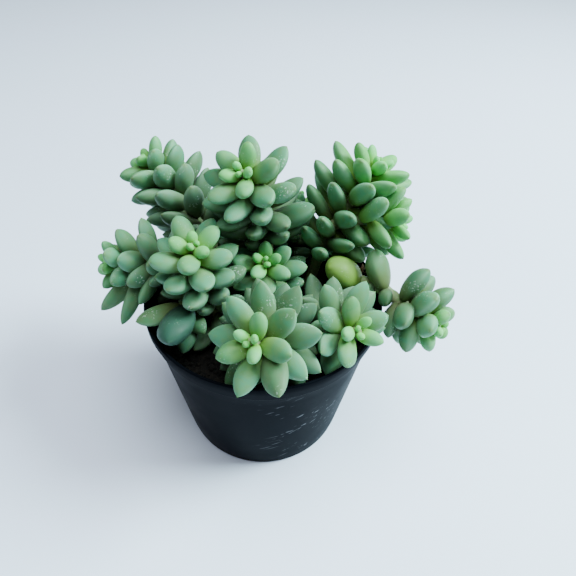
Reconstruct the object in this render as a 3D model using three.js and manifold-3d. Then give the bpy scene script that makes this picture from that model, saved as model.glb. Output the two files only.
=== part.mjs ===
// Potted burro's tail: a trailing succulent in a thin, round, black nursery pot.
// Millimetres, +Z up. The origin is the centre of the pot's base, on the surface it stands on.
// Every leafy stem is a curved shoot. Its leaves follow the golden angle from the tip down,
// and are then turned apart from the neighbouring stems, the pot and the soil.

import * as THREE from 'three';
import { mergeVertices } from 'three/addons/utils/BufferGeometryUtils.js';
import Module from 'manifold-3d';

const wasm = await Module();
wasm.setup();

// ---------------------------------------------------------------- driving dimensions

const CLEARANCE = 0.3;            // gap between pieces that touch

const POT_HEIGHT = 62;
const POT_RIM_RADIUS = 40;
const POT_BASE_RADIUS = 31;
const POT_WALL = 1.0;
const POT_FLOOR = 1.4;
const POT_SIDES = 40;
const COLLAR_HEIGHT = 7;          // the stiffer band below the rim
const COLLAR_STEP = 0.8;          // how far the band stands out from the wall
const FOOT_CHAMFER = 1.2;
const LIP_CHAMFER = 0.4;
const DRAIN_HOLES = 5;
const DRAIN_RADIUS = 3;
const DRAIN_CIRCLE_RADIUS = 20;
const DRAIN_SIDES = 10;
const DRAIN_CUT_HEIGHT = 6;       // length of the cutter, centred on the pot's underside

const SOIL_TOP = 50.5;
const SOIL_SIDES = 20;
const SOIL_RINGS = [26, 13];
const SOIL_RELIEF = 0.45;
const SOIL_WAVES = [[0.31, 0, 1], [-0.12, 0.27, 0], [0.2, 0.43, 1.57]];  // along x, along y, start

const STEM_ROOT_RADIUS = 2.1;
const STEM_TIP_RADIUS = 1.0;
const STEM_TAPER_LENGTH = 9;      // the stem thickens to its full size over about this length
const STEM_SIDES = 5;
const STEM_STEPS = 8;

const LEAF_LENGTH = 18.0;         // of an old leaf on a stem of size 1
const LEAF_WIDTH = 7.0;
const LEAF_THICKNESS = 0.84;      // thickness as a share of the width
const LEAF_WIDEST = 0.56;         // where a leaf is widest, from 0 at its base to 1 at its tip
const LEAF_FOOT = 0.28;           // half-width at the base as a share of the widest
const LEAF_ROUNDING = 2.1;
const LEAF_BLUNTNESS = 0.72;      // a smaller power gives a blunter tip
const GOLDEN_ANGLE = 137.508;
const TURN_SCATTER = 14;          // degrees, full width of the random draw
const TILT_SCATTER = 12;
const LENGTH_SCATTER = 0.16;
const WIDTH_SCATTER = 0.10;

// How a leaf's size, lean and place change with its number, counted down from the tip.
const FIRST_LEAF = 0.6;           // distance of leaf 0 from the tip of the shoot
const LEAF_SPACING = 0.55;
const SPACING_POWER = 1.16;
const YOUNG_WIDTH = 0.27;         // share of the full width that leaf 0 starts from
const YOUNG_LENGTH = 0.13;
const YOUNG_LEAN = 14;            // degrees from the line of the shoot
const WIDTH_LEAVES = 5;           // leaves over which each of these grows
const WIDTH_POWER = 1.8;
const LENGTH_LEAVES = 5.2;
const LATE_LENGTH_LEAVES = 9;
const LATE_LENGTH = 0.58;         // share of the growth in length that comes late
const LEAN_LEAVES = 4.5;
const LEAF_SEAT = 0.55;           // a leaf's base is this share of the stem's radius off its centre
const FIRST_SEED = 1000;
const SEED_STEP = 77;
const DRAW_FACTOR = 16807;        // the random draws repeat value * factor, modulo the prime
const DRAW_PRIME = 2147483647;

const LEAF_RINGS = [0.45, 0.78];
const BUD_RINGS = [0.40, 0.75];
const LEAF_SIDES = 5;
const BUD_LENGTH = 5;             // leaves shorter than this are built as buds
const FACET_ALLOWANCE = 1.07;     // widens a faceted leaf to the mean size of the round one

// Root, rise, apex and aim are the points and pulls of a cubic curve, in mm. Phase is the turn of
// leaf 0 in degrees, and hand the sense in which the leaves climb. Size and girth scale the leaves'
// length and width. Lean is how far an old leaf stands off the shoot, in degrees. A name that is
// used twice is a stem with a side branch.
const SHOOTS = [
  { stem: 'leafy_stem_upper_left', root: [-14, 13, 44], rise: [-3, 5, 34],
    apex: [-43, 38, 90], aim: [-10, -1, 13], leaves: 40, phase: -18, hand: -1,
    size: 0.9, girth: 1.06, lean: 68 },
  { stem: 'leafy_stem_upper_middle', root: [1, 12, 44], rise: [2, 0, 26],
    apex: [-7, 7, 103], aim: [-6, -11, 11], leaves: 38, phase: 250, hand: -1,
    size: 0.98, girth: 1.02, lean: 76 },
  { stem: 'leafy_stem_upper_right', root: [16, 13, 44], rise: [1, 2, 28],
    apex: [38, 26, 96], aim: [5, 0, 14], leaves: 40, phase: 73, hand: 1,
    size: 1.06, girth: 0.98, lean: 68 },
  { stem: 'leafy_stem_upper_right', root: [23, 17, 77], rise: [6, -1, 4],
    apex: [45.5, 12, 82.5], aim: [9, -4, 2], leaves: 20, phase: 52, hand: -1,
    size: 0.96, girth: 0.9, lean: 62 },
  { stem: 'leafy_stem_left', root: [-19, 1, 44], rise: [-6, 0, 40],
    apex: [-52.5, 5, 69.8], aim: [-8, -7, 8], leaves: 34, phase: 26, hand: -1,
    size: 0.8, girth: 0.96, lean: 80 },
  { stem: 'leafy_stem_middle_left', root: [-12, -6, 44], rise: [-5, 0, 22],
    apex: [-20.4, -8, 88], aim: [3, -5, 17], leaves: 38, phase: 6, hand: -1,
    size: 0.9, girth: 1.02, lean: 74 },
  { stem: 'leafy_stem_middle', root: [3, 3, 44], rise: [0, 3, 14],
    apex: [0.2, -1, 76], aim: [1, -8, 12], leaves: 22, phase: 70, hand: -1,
    size: 0.92, girth: 0.94, lean: 74 },
  { stem: 'leafy_stem_front', root: [4, -11, 44], rise: [2, 0, 16],
    apex: [-3.9, -34.5, 76.5], aim: [-7, -7, 12], leaves: 31, phase: -127, hand: 1,
    size: 1.05, girth: 1.04, lean: 84 },
  { stem: 'leafy_stem_front_right', root: [18, -6, 44], rise: [1, 1, 12],
    apex: [27.2, -26.5, 71.5], aim: [6, -9, 11], leaves: 28, phase: 141, hand: 1,
    size: 0.98, girth: 1, lean: 80 },
  { stem: 'leafy_stem_right', root: [25, 5, 44], rise: [3, 1, 40],
    apex: [56.7, -16.5, 61.5], aim: [7, -7, 6], leaves: 19, phase: -74, hand: 1,
    size: 0.86, girth: 1.18, lean: 78 },
  { stem: 'leafy_stem_right', root: [26.2, 5.3, 54], rise: [1, 0, 4],
    apex: [33, 4.5, 64.5], aim: [4, 0, 4], leaves: 0, phase: 0, hand: 1,
    size: 1, girth: 1, lean: 80 },
  { stem: 'leafy_stem_back_right', root: [6, 25, 44], rise: [0, 4, 20],
    apex: [12, 37, 76], aim: [2, 8, 12], leaves: 24, phase: 30, hand: 1,
    size: 0.9, girth: 0.94, lean: 74 },
  { stem: 'leafy_stem_back_left', root: [-9, 25, 44], rise: [0, 4, 16],
    apex: [-15, 38, 72], aim: [-4, 8, 12], leaves: 24, phase: 100, hand: -1,
    size: 0.9, girth: 0.94, lean: 74 },
  { stem: 'leafy_stem_front_left', root: [-21, -9, 44], rise: [-1, 0, 8],
    apex: [-26, -11, 67], aim: [-2, -1, 6], leaves: 0, phase: 0, hand: 1,
    size: 1, girth: 1, lean: 80 },
];
const FAR_RIGHT = 9;
const STUB = 10;
const UPPER_MIDDLE = 1;
const UPPER_RIGHT = 2;
const LEFT = 4;
const FRONT = 7;
const FRONT_LEFT = 13;

// Old leaves that the spiral doesn't place: the shoot, how far down from its tip they sit,
// where their own tip is, and their width.
const SINGLE_LEAVES = [
  { shoot: STUB, down: 0.5, tip: [19.2, 3.2, 75], width: 12.4 },
  { shoot: STUB, down: 5.5, tip: [36, -6, 63], width: 6 },
  { shoot: STUB, down: 8.5, tip: [24, -5, 60], width: 6.5 },
  { shoot: STUB, down: 2, tip: [31, 15, 62.5], width: 6.5 },
  { shoot: FAR_RIGHT, down: 22, tip: [31.8, 3.5, 74.5], width: 10.4 },
  { shoot: FAR_RIGHT, down: 26, tip: [34.8, -5.5, 66.5], width: 5.6 },
  { shoot: FAR_RIGHT, down: 21.5, tip: [39, -10, 65], width: 6 },
  { shoot: FAR_RIGHT, down: 15.5, tip: [43.5, -16, 54], width: 6.4 },
  { shoot: UPPER_RIGHT, down: 26, tip: [26.4, 8, 69.3], width: 7.8 },
  { shoot: UPPER_RIGHT, down: 27.5, tip: [33.5, 6, 68.5], width: 8.4 },
  { shoot: UPPER_RIGHT, down: 22, tip: [31, 5, 77], width: 8 },
  { shoot: FRONT_LEFT, down: 2, tip: [-28.8, -31.5, 67], width: 12.4 },
  { shoot: FRONT_LEFT, down: 1.5, tip: [-40, -24, 65], width: 8.8 },
  { shoot: FRONT_LEFT, down: 7.5, tip: [-20.5, -24, 59.5], width: 6.5 },
  { shoot: FRONT_LEFT, down: 3, tip: [-16, -21, 63.5], width: 7 },
  { shoot: FRONT_LEFT, down: 8.5, tip: [-29, 2, 62], width: 6.5 },
  { shoot: LEFT, down: 19, tip: [-42, -9, 63], width: 6.4 },
  { shoot: LEFT, down: 21, tip: [-35.5, -8, 71], width: 6.4 },
  { shoot: LEFT, down: 14, tip: [-54.5, -6, 59.5], width: 7 },
  { shoot: LEFT, down: 13.5, tip: [-46, -13, 58], width: 6.4 },
  { shoot: FRONT, down: 11, tip: [6.8, -47.1, 69.5], width: 8.2 },
  { shoot: UPPER_MIDDLE, down: 25, tip: [16.8, 6, 88], width: 9.4 },
];
const SINGLE_LEAF_RANK = 40;      // a single leaf is kept before the spiral's older leaves

const TRACE_STEPS = 60;
const BARE_STEM = 9;              // leafless length above the root

// Spacing of the leaves: each is a row of four beads along its axis.
const BEADS = [0.30, 0.50, 0.70, 0.88];
const SPREAD_ROUNDS = 60;
const SPREAD_RATE = 0.6;
const SPREAD_RETURN = 0.05;       // share of the way back to its own direction in each round
const REACH = 20;                 // leaves further apart than this never meet
const GAP_WANTED = 0.9;           // aimed at between the leaves of two stems
const GAP_NEEDED = 0.55;          // kept between them
const OWN_GAP = 0.1;              // aimed at between the leaves of one stem
const STEM_GAP = 0.6;
const POT_GAP = 1.6;
const SOIL_GAP = 0.8;
const SLACK = 0.4;                // part of the last three gaps that may be given up
const TOLERANCE = 0.02;
const SHRINK_ROUNDS = 6;
const SHRINK = 0.95;
const RIM_PATH_RADIUS = 39.4;     // middle of the pot's wall at the rim
const RIM_PATH_HEIGHT = 61.5;
const OVER_SOIL_RADIUS = 37.4;    // a bead inside this radius stands over the soil
const STEM_BEAD_STEP = 3;         // every third point of a stem's trace is a bead

const LEAF_LOOK = { color: 0x8dbb98, roughness: 0.6 };
const POT_LOOK = { color: 0x15171b, roughness: 0.45 };
const SOIL_LOOK = { color: 0x1a1512, roughness: 0.95 };

const WELD = 1e-4;                // points nearer than this are one point
const TINY = 1e-9;                // keeps a division clear of zero

// ---------------------------------------------------------------- geometry helpers

function vector(values) {
  return new THREE.Vector3(...values);
}

// A closed three.js geometry as a solid, with its shared points merged and its empty
// triangles left out.
function toSolid(geometry) {
  const bare = geometry.index ? geometry.toNonIndexed() : geometry.clone();
  bare.deleteAttribute('normal');
  bare.deleteAttribute('uv');
  const merged = mergeVertices(bare, WELD);
  const index = merged.index.array;
  const triangles = [];
  for (let i = 0; i < index.length; i += 3) {
    const [a, b, c] = [index[i], index[i + 1], index[i + 2]];
    if (a !== b && b !== c && c !== a) triangles.push(a, b, c);
  }
  return new wasm.Manifold(new wasm.Mesh({
    numProp: 3,
    vertProperties: new Float32Array(merged.attributes.position.array),
    triVerts: new Uint32Array(triangles),
  }));
}

// The largest closed surface of a solid: it drops loose scraps and fills sealed hollows.
function outerSurface(solid) {
  const mesh = solid.getMesh();
  const parent = Array.from({ length: mesh.vertProperties.length / mesh.numProp }, (_, i) => i);
  const find = (i) => {
    while (parent[i] !== i) {
      parent[i] = parent[parent[i]];
      i = parent[i];
    }
    return i;
  };
  const triangles = mesh.triVerts;
  for (let i = 0; i < triangles.length; i += 3) {
    parent[find(triangles[i])] = find(triangles[i + 1]);
    parent[find(triangles[i + 1])] = find(triangles[i + 2]);
  }
  const groups = new Map();
  for (let i = 0; i < triangles.length; i += 3) {
    const key = find(triangles[i]);
    if (!groups.has(key)) groups.set(key, []);
    groups.get(key).push(triangles[i], triangles[i + 1], triangles[i + 2]);
  }
  const largest = [...groups.values()].sort((a, b) => b.length - a.length)[0];
  const positions = [];
  for (const v of largest) {
    positions.push(...mesh.vertProperties.subarray(v * mesh.numProp, v * mesh.numProp + 3));
  }
  const geometry = new THREE.BufferGeometry();
  geometry.setAttribute('position', new THREE.Float32BufferAttribute(positions, 3));
  return geometry;
}

function joined(solids) {
  return solids.reduce((whole, next) => whole.add(next));
}

// A generator of numbers from 0 to 1 that gives the same row for the same seed.
function seededDraw(seed) {
  let value = seed;
  return () => {
    value = (value * DRAW_FACTOR) % DRAW_PRIME;
    return value / DRAW_PRIME;
  };
}

// ---------------------------------------------------------------- pot

function potOuterRadius(z) {
  return POT_BASE_RADIUS + (POT_RIM_RADIUS - COLLAR_STEP - POT_BASE_RADIUS) * (z / POT_HEIGHT);
}

function potInnerRadius(z) {
  return potOuterRadius(z) - POT_WALL;
}

function potGeometry() {
  const collar = POT_HEIGHT - COLLAR_HEIGHT;
  const profile = [
    [0, 0],
    [POT_BASE_RADIUS - FOOT_CHAMFER, 0],
    [potOuterRadius(FOOT_CHAMFER), FOOT_CHAMFER],
    [potOuterRadius(collar), collar],
    [potOuterRadius(collar) + COLLAR_STEP, collar + COLLAR_STEP],
    [POT_RIM_RADIUS, POT_HEIGHT - LIP_CHAMFER],
    [POT_RIM_RADIUS - LIP_CHAMFER, POT_HEIGHT],
    [POT_RIM_RADIUS - POT_WALL, POT_HEIGHT],
    [potInnerRadius(collar + COLLAR_STEP) + COLLAR_STEP / 2, collar + 2 * COLLAR_STEP],
    [potInnerRadius(collar), collar],
    [potInnerRadius(POT_FLOOR), POT_FLOOR],
    [0, POT_FLOOR],
  ].map(([radius, z]) => new THREE.Vector2(radius, z));
  const shell = new THREE.LatheGeometry(profile, POT_SIDES).rotateX(Math.PI / 2);
  const holes = [];
  for (let i = 0; i < DRAIN_HOLES; i += 1) {
    const angle = (2 * Math.PI * (i + 0.5)) / DRAIN_HOLES;
    const hole = new THREE.CylinderGeometry(DRAIN_RADIUS, DRAIN_RADIUS, DRAIN_CUT_HEIGHT, DRAIN_SIDES);
    hole.rotateX(Math.PI / 2);
    hole.translate(DRAIN_CIRCLE_RADIUS * Math.cos(angle), DRAIN_CIRCLE_RADIUS * Math.sin(angle), 0);
    holes.push(toSolid(hole));
  }
  return outerSurface(toSolid(shell).subtract(joined(holes)));
}

// ---------------------------------------------------------------- stems

// Points, distances and frames along a shoot, from its tip down to its root.
function traceShoot(shoot) {
  const root = vector(shoot.root);
  const apex = vector(shoot.apex);
  const curve = new THREE.CubicBezierCurve3(
    root,
    root.clone().add(vector(shoot.rise)),
    apex.clone().sub(vector(shoot.aim)),
    apex,
  );
  const points = curve.getPoints(TRACE_STEPS).reverse();
  const lengths = [0];
  for (let k = 0; k < TRACE_STEPS; k += 1) {
    lengths.push(lengths[k] + points[k + 1].distanceTo(points[k]));
  }
  const frames = [];
  let side = new THREE.Vector3(1, 0, 0);
  for (let k = 0; k <= TRACE_STEPS; k += 1) {
    const above = points[Math.max(k - 1, 0)];
    const below = points[Math.min(k + 1, TRACE_STEPS)];
    const tangent = above.clone().sub(below).normalize();
    side = side.clone().addScaledVector(tangent, -tangent.dot(side)).normalize();
    frames.push({ tangent, side, normal: tangent.clone().cross(side) });
  }
  return { stem: shoot.stem, points, lengths, frames, total: lengths[TRACE_STEPS] };
}

// The centre and frame of a shoot at a distance from its tip.
function placeOn(trace, down) {
  const distance = Math.min(Math.max(down, 0), trace.total - WELD);
  let k = 0;
  while (trace.lengths[k + 1] < distance) k += 1;
  const share = (distance - trace.lengths[k]) / (trace.lengths[k + 1] - trace.lengths[k]);
  return {
    centre: trace.points[k].clone().lerp(trace.points[k + 1], share),
    frame: trace.frames[share < 0.5 ? k : k + 1],
  };
}

function stemRadius(down) {
  const growth = 1 - Math.exp(-down / STEM_TAPER_LENGTH);
  return STEM_TIP_RADIUS + (STEM_ROOT_RADIUS - STEM_TIP_RADIUS) * growth;
}

// A cylinder bent along the shoot. A widened one cuts the stem's hole in the soil.
function stemGeometry(trace, extra) {
  const geometry = new THREE.CylinderGeometry(1, 1, 1, STEM_SIDES, STEM_STEPS);
  const position = geometry.attributes.position;
  const point = new THREE.Vector3();
  for (let i = 0; i < position.count; i += 1) {
    point.fromBufferAttribute(position, i);
    const down = trace.total * (0.5 - point.y);
    const { centre, frame } = placeOn(trace, down);
    const radius = stemRadius(down) + extra;
    centre.addScaledVector(frame.normal, point.x * radius);
    centre.addScaledVector(frame.side, point.z * radius);
    if (down > trace.total - WELD) centre.addScaledVector(frame.tangent, -extra);
    position.setXYZ(i, centre.x, centre.y, centre.z);
  }
  return geometry;
}

// ---------------------------------------------------------------- soil

function soilRelief(x, y) {
  const heights = SOIL_WAVES.map(([alongX, alongY, start]) => Math.sin(x * alongX + y * alongY + start));
  return (SOIL_RELIEF * heights.reduce((sum, height) => sum + height)) / SOIL_WAVES.length;
}

function soilGeometry(traces) {
  const bottom = POT_FLOOR + CLEARANCE;
  const edge = potInnerRadius(SOIL_TOP) - CLEARANCE;
  const profile = [
    [0, bottom],
    [potInnerRadius(bottom) - CLEARANCE, bottom],
    [edge, SOIL_TOP],
    ...SOIL_RINGS.map((radius) => [radius, SOIL_TOP]),
    [0, SOIL_TOP],
  ].map(([radius, z]) => new THREE.Vector2(radius, z));
  const body = new THREE.LatheGeometry(profile, SOIL_SIDES).rotateX(Math.PI / 2);
  const position = body.attributes.position;
  for (let i = 0; i < position.count; i += 1) {
    const [x, y, z] = [position.getX(i), position.getY(i), position.getZ(i)];
    const onTop = z > SOIL_TOP - CLEARANCE && Math.hypot(x, y) < edge - CLEARANCE;
    if (onTop) position.setZ(i, z + soilRelief(x, y));
  }
  const holes = traces.filter((trace) => trace.points[TRACE_STEPS].z < SOIL_TOP)
    .map((trace) => toSolid(stemGeometry(trace, CLEARANCE)));
  return outerSurface(toSolid(body).subtract(joined(holes)));
}

// ---------------------------------------------------------------- leaves

// Half-width of a leaf along its length, from 0 at the base to 1 at the tip.
function leafOutline(u) {
  if (u < LEAF_WIDEST) {
    return Math.sqrt(1 - ((LEAF_WIDEST - u) / LEAF_WIDEST) ** 2 * (1 - LEAF_FOOT * LEAF_FOOT));
  }
  return (1 - ((u - LEAF_WIDEST) / (1 - LEAF_WIDEST)) ** LEAF_ROUNDING) ** LEAF_BLUNTNESS;
}

// Leaves in golden-angle order from the tip down: young ones short and upright, old ones long
// and spread out.
function spiralLeaves(shoot, number, trace) {
  const draw = seededDraw(FIRST_SEED + SEED_STEP * number);
  const leaves = [];
  for (let i = 0; i < shoot.leaves; i += 1) {
    const wide = 1 - Math.exp(-(((i + FIRST_LEAF) / WIDTH_LEAVES) ** WIDTH_POWER));
    const early = 1 - Math.exp(-(((i + FIRST_LEAF) / LENGTH_LEAVES) ** 2));
    const late = 1 - Math.exp(-i / LATE_LENGTH_LEAVES);
    const long = (1 - LATE_LENGTH) * early + LATE_LENGTH * late;
    const spread = 1 - Math.exp(-i / LEAN_LEAVES);
    const down = FIRST_LEAF + LEAF_SPACING * i ** SPACING_POWER;
    if (down > trace.total - BARE_STEM) break;
    const { centre, frame } = placeOn(trace, down);
    const turn = shoot.phase + shoot.hand * GOLDEN_ANGLE * i + (draw() - 0.5) * TURN_SCATTER;
    const tilt = YOUNG_LEAN + (shoot.lean - YOUNG_LEAN) * spread + (draw() - 0.5) * TILT_SCATTER;
    const length = LEAF_LENGTH * shoot.size * (YOUNG_LENGTH + (1 - YOUNG_LENGTH) * long)
      * (1 + (draw() - 0.5) * LENGTH_SCATTER);
    const width = LEAF_WIDTH * shoot.girth * (YOUNG_WIDTH + (1 - YOUNG_WIDTH) * wide)
      * (1 + (draw() - 0.5) * WIDTH_SCATTER);
    const angle = THREE.MathUtils.degToRad(turn);
    const lean = THREE.MathUtils.degToRad(tilt);
    const outward = frame.side.clone().multiplyScalar(Math.cos(angle))
      .addScaledVector(frame.normal, Math.sin(angle));
    const direction = frame.tangent.clone().multiplyScalar(Math.cos(lean))
      .addScaledVector(outward, Math.sin(lean)).normalize();
    const base = centre.addScaledVector(outward, stemRadius(down) * LEAF_SEAT);
    leaves.push({ stem: shoot.stem, rank: i, base, direction, up: frame.tangent, length, width });
  }
  return leaves;
}

function singleLeaf({ shoot, down, tip, width }, number, traces) {
  const { centre, frame } = placeOn(traces[shoot], down);
  const span = vector(tip).sub(centre);
  return {
    stem: SHOOTS[shoot].stem,
    rank: SINGLE_LEAF_RANK + number,
    base: centre,
    direction: span.clone().normalize(),
    up: frame.tangent,
    length: span.length(),
    width,
  };
}

// ---------------------------------------------------------------- spacing of the leaves

// A bead is a ball of the leaf's mean thickness there.
function beadsOf(leaf) {
  const radius = (leaf.scale * leaf.width * (1 + LEAF_THICKNESS)) / 4;
  return BEADS.map((u) => ({
    centre: leaf.base.clone().addScaledVector(leaf.direction, u * leaf.length * leaf.scale),
    radius: radius * leafOutline(u),
    lever: u,
  }));
}

// Pairs of leaves that are near enough to meet, with the gap that each pair keeps.
function nearPairs(leaves) {
  const middles = leaves.map((leaf) => leaf.base.clone().addScaledVector(leaf.direction, leaf.length / 2));
  const pairs = [];
  for (let a = 0; a < leaves.length; a += 1) {
    for (let b = a + 1; b < leaves.length; b += 1) {
      if (middles[a].distanceTo(middles[b]) < REACH) {
        pairs.push({ a, b, same: leaves[a].stem === leaves[b].stem });
      }
    }
  }
  return pairs;
}

function stemBeads(traces) {
  const beads = [];
  for (const trace of traces) {
    for (let k = 0; k <= TRACE_STEPS; k += STEM_BEAD_STEP) {
      beads.push({ stem: trace.stem, centre: trace.points[k], radius: stemRadius(trace.lengths[k]) });
    }
  }
  return beads;
}

// How far a bead reaches into the pot's wall or rim, and the way out.
function wallContact(bead) {
  const { x, y, z } = bead.centre;
  const distance = Math.hypot(x, y) + TINY;
  const height = Math.min(z, RIM_PATH_HEIGHT);
  const wall = POT_BASE_RADIUS + (RIM_PATH_RADIUS - POT_BASE_RADIUS) * (height / RIM_PATH_HEIGHT);
  const away = new THREE.Vector3(x * (1 - wall / distance), y * (1 - wall / distance), z - height);
  const depth = Math.max(bead.radius + POT_GAP - away.length(), 0);
  return { depth, push: away.normalize().multiplyScalar(depth) };
}

function soilContact(bead) {
  const above = Math.hypot(bead.centre.x, bead.centre.y) < OVER_SOIL_RADIUS;
  const depth = above ? Math.max(SOIL_TOP + bead.radius + SOIL_GAP - bead.centre.z, 0) : 0;
  return { depth, push: new THREE.Vector3(0, 0, depth) };
}

// One look at all contacts: the turning push on each leaf, its deepest contact with another
// leaf and its deepest contact with a stem, the pot or the soil.
function findContacts(leaves, pairs, stems, ownGap, otherGap) {
  const beads = leaves.map(beadsOf);
  const pushes = leaves.map(() => new THREE.Vector3());
  const leafDepth = leaves.map(() => 0);
  const bodyDepth = leaves.map(() => 0);
  let worst = { depth: 0, a: 0, b: 0 };
  for (const { a, b, same } of pairs) {
    if (leaves[a].dropped || leaves[b].dropped) continue;
    const gap = same ? ownGap : otherGap;
    for (const one of beads[a]) {
      for (const two of beads[b]) {
        const between = one.centre.clone().sub(two.centre);
        const distance = between.length() + TINY;
        const depth = one.radius + two.radius + gap - distance;
        if (depth <= 0) continue;
        between.multiplyScalar((depth / distance) * 0.5);
        pushes[a].addScaledVector(between, one.lever);
        pushes[b].addScaledVector(between, -two.lever);
        leafDepth[a] = Math.max(leafDepth[a], depth);
        leafDepth[b] = Math.max(leafDepth[b], depth);
        if (depth > worst.depth) worst = { depth, a, b };
      }
    }
  }
  leaves.forEach((leaf, n) => {
    if (leaf.dropped) return;
    for (const bead of beads[n]) {
      for (const contact of [wallContact(bead), soilContact(bead)]) {
        pushes[n].addScaledVector(contact.push, bead.lever);
        bodyDepth[n] = Math.max(bodyDepth[n], contact.depth);
      }
      for (const stem of stems) {
        if (stem.stem === leaf.stem) continue;
        const between = bead.centre.clone().sub(stem.centre);
        const distance = between.length() + TINY;
        const depth = bead.radius + stem.radius + STEM_GAP - distance;
        if (depth <= 0) continue;
        pushes[n].addScaledVector(between, (depth / distance) * bead.lever);
        bodyDepth[n] = Math.max(bodyDepth[n], depth);
      }
    }
  });
  return { pushes, leafDepth, bodyDepth, worst };
}

// Turn the leaves apart, draw in those that still press on a neighbour, and leave out the
// oldest of those that can't be freed.
function spaced(leaves, traces) {
  const stems = stemBeads(traces);
  for (const leaf of leaves) {
    leaf.home = leaf.direction.clone();
    leaf.scale = 1;
    leaf.dropped = false;
  }
  const pairs = nearPairs(leaves);
  const leverage = BEADS.reduce((sum, u) => sum + u * u, 0);
  for (let round = 0; round < SPREAD_ROUNDS; round += 1) {
    const { pushes } = findContacts(leaves, pairs, stems, OWN_GAP, GAP_WANTED);
    leaves.forEach((leaf, n) => {
      leaf.direction.addScaledVector(pushes[n], SPREAD_RATE / (leaf.length * leverage));
      leaf.direction.lerp(leaf.home, SPREAD_RETURN).normalize();
    });
  }
  for (let round = 0; round < SHRINK_ROUNDS; round += 1) {
    const { leafDepth, bodyDepth } = findContacts(leaves, pairs, stems, -Infinity, GAP_NEEDED);
    leaves.forEach((leaf, n) => {
      if (Math.max(leafDepth[n], bodyDepth[n] - SLACK) > TOLERANCE) leaf.scale *= SHRINK;
    });
  }
  for (;;) {
    const { bodyDepth, worst } = findContacts(leaves, pairs, stems, -Infinity, GAP_NEEDED);
    const deepest = bodyDepth.indexOf(Math.max(...bodyDepth));
    const pressed = bodyDepth[deepest] - SLACK;
    if (Math.max(pressed, worst.depth) <= TOLERANCE) break;
    const older = leaves[worst.a].rank % SINGLE_LEAF_RANK >= leaves[worst.b].rank % SINGLE_LEAF_RANK;
    const chosen = pressed > worst.depth ? deepest : (older ? worst.a : worst.b);
    leaves[chosen].dropped = true;
  }
  return leaves.filter((leaf) => !leaf.dropped);
}

// ---------------------------------------------------------------- leafy stems

function leafGeometry(leaf) {
  const length = leaf.length * leaf.scale;
  const width = leaf.width * leaf.scale;
  const bud = length < BUD_LENGTH;
  const profile = [0, ...(bud ? BUD_RINGS : LEAF_RINGS), 1].map((u, i, all) => {
    const end = i === 0 || i === all.length - 1;
    return new THREE.Vector2(end ? 0 : leafOutline(u), u);
  });
  const geometry = new THREE.LatheGeometry(profile, LEAF_SIDES);
  const half = (width / 2) * FACET_ALLOWANCE;
  geometry.scale(half, length, half * LEAF_THICKNESS);
  const across = leaf.direction.clone().cross(leaf.up).normalize();
  const through = across.clone().cross(leaf.direction);
  const placing = new THREE.Matrix4().makeBasis(across, leaf.direction, through);
  geometry.applyMatrix4(placing.setPosition(leaf.base));
  return geometry;
}

function leafyStemGeometry(stem, traces, leaves) {
  const shoots = traces.filter((trace) => trace.stem === stem).map((trace) => stemGeometry(trace, 0));
  const own = leaves.filter((leaf) => leaf.stem === stem).map(leafGeometry);
  return outerSurface(joined([...shoots, ...own].map(toSolid)));
}

// ---------------------------------------------------------------- assembly

function piece(name, geometry, look) {
  geometry.computeVertexNormals();
  const mesh = new THREE.Mesh(geometry, new THREE.MeshStandardMaterial({ ...look, metalness: 0 }));
  mesh.name = name;
  return mesh;
}

const traces = SHOOTS.map(traceShoot);
const leaves = spaced([
  ...SHOOTS.flatMap((shoot, number) => spiralLeaves(shoot, number, traces[number])),
  ...SINGLE_LEAVES.map((leaf, number) => singleLeaf(leaf, number, traces)),
], traces);

const group = new THREE.Group();
group.add(piece('pot', potGeometry(), POT_LOOK));
group.add(piece('soil', soilGeometry(traces), SOIL_LOOK));
for (const stem of new Set(SHOOTS.map((shoot) => shoot.stem))) {
  group.add(piece(stem, leafyStemGeometry(stem, traces, leaves), LEAF_LOOK));
}

export default group;
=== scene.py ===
"""Potted burro's tail: a trailing succulent in a thin black nursery pot, in metres, +Z up.

The pot, the soil and every leafy stem stand for their CAD nodes. The leaves are laid out by
the same rule as in the part: in golden-angle order from each tip down, with single ones listed
one by one, and then turned apart.
"""
import math

import bpy
import bmesh
import numpy as np
from mathutils import Matrix, Vector, noise


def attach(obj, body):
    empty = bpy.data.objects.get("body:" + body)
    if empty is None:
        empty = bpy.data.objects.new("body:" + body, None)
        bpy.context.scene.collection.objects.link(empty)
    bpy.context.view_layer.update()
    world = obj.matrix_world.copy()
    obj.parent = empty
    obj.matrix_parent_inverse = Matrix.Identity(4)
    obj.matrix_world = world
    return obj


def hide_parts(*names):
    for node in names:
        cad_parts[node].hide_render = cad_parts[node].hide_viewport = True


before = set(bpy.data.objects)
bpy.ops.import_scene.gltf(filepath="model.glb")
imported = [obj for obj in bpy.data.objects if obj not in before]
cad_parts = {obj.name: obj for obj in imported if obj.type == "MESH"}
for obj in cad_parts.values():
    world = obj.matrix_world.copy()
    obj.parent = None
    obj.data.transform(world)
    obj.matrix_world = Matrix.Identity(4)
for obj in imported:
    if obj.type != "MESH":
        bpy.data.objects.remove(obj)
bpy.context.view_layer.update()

MM = 0.001

# ---------------------------------------------------------------- driving dimensions, in mm

POT_HEIGHT = 62
POT_RIM_RADIUS = 40
POT_BASE_RADIUS = 31
POT_WALL = 1.0
POT_FLOOR = 1.4
POT_SIDES = 160
COLLAR_HEIGHT = 7
COLLAR_STEP = 0.8
DRAIN_HOLES = 5
DRAIN_RADIUS = 3
DRAIN_CIRCLE_RADIUS = 20
CLEARANCE = 0.3
SOIL_TOP = 50.5

STEM_ROOT_RADIUS = 2.1
STEM_TIP_RADIUS = 1.0
STEM_TAPER_LENGTH = 9
STEM_SIDES = 14

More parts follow.
